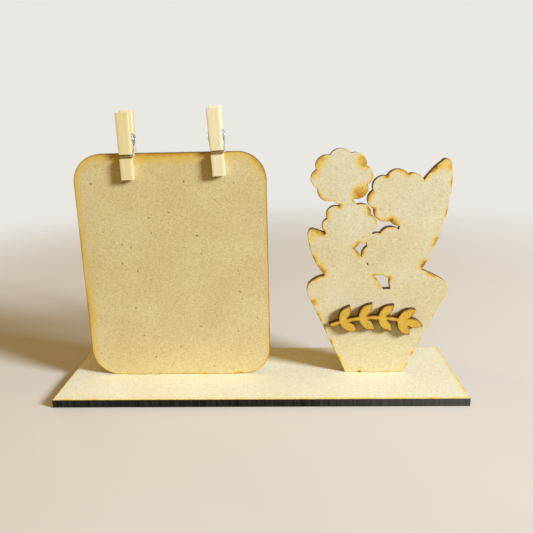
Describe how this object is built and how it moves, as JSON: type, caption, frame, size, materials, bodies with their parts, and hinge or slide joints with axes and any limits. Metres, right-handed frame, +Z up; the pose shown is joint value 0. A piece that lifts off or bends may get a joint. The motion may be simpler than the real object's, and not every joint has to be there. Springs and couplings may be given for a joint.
{
  "type": "memo holder",
  "caption": "Desk memo holder: a flat base with an upright rounded memo board, a flower-pot cut-out panel and small spring pegs clipped over the board's top edge to hold notes.",
  "frame": {"origin": "middle of the base plate's underside, on the surface that the object stands on", "axes": "+X to the right along the base seen from the front, +Y to the back, +Z up; the memo faces -Y"},
  "size_m": [0.2, 0.06, 0.1394],
  "materials": {
    "base_fibreboard": "bare medium-density fibreboard, charred laser-cut edges",
    "board_fibreboard": "bare medium-density fibreboard, amber scorch along the edges",
    "pot_fibreboard": "bare medium-density fibreboard, scorched cut edges",
    "sprig_fibreboard": "scorched fibreboard, dark edges",
    "peg_birch": "bare planed birch",
    "spring_wire": "bright zinc-plated wire"
  },
  "bodies": {
    "stand": {"base_plate": "base_fibreboard", "memo_board": "board_fibreboard", "flower_pot": "pot_fibreboard", "pot_sprig": "sprig_fibreboard"},
    "left_peg": {"left_peg_rear_leg": "peg_birch", "left_peg_spring": "spring_wire"},
    "left_peg_jaw": {"left_peg_front_leg": "peg_birch"},
    "right_peg": {"right_peg_rear_leg": "peg_birch", "right_peg_spring": "spring_wire"},
    "right_peg_jaw": {"right_peg_front_leg": "peg_birch"}
  },
  "joints": [
    {"name": "left_peg_lift", "type": "slide", "parent": "stand", "child": "left_peg", "axis": [-0.007, 0, 1], "range_m": [0, 0.0125]},
    {"name": "left_peg_open", "type": "hinge", "parent": "left_peg", "child": "left_peg_jaw", "pos_m": [-0.0609, -0.0005, 0.1253], "axis": [-1, 0, -0.007], "range_deg": [0, 18], "stiffness_Nm_per_rad": 0.085, "springref_deg": -20.05, "deforming": ["left_peg_spring"]},
    {"name": "right_peg_lift", "type": "slide", "parent": "stand", "child": "right_peg", "axis": [-0.0541, 0, 0.9985], "range_m": [0, 0.0115]},
    {"name": "right_peg_open", "type": "hinge", "parent": "right_peg", "child": "right_peg_jaw", "pos_m": [-0.0182, -0.0005, 0.1264], "axis": [-0.9985, 0, -0.0541], "range_deg": [0, 18], "stiffness_Nm_per_rad": 0.085, "springref_deg": -20.05, "deforming": ["right_peg_spring"]}
  ]
}
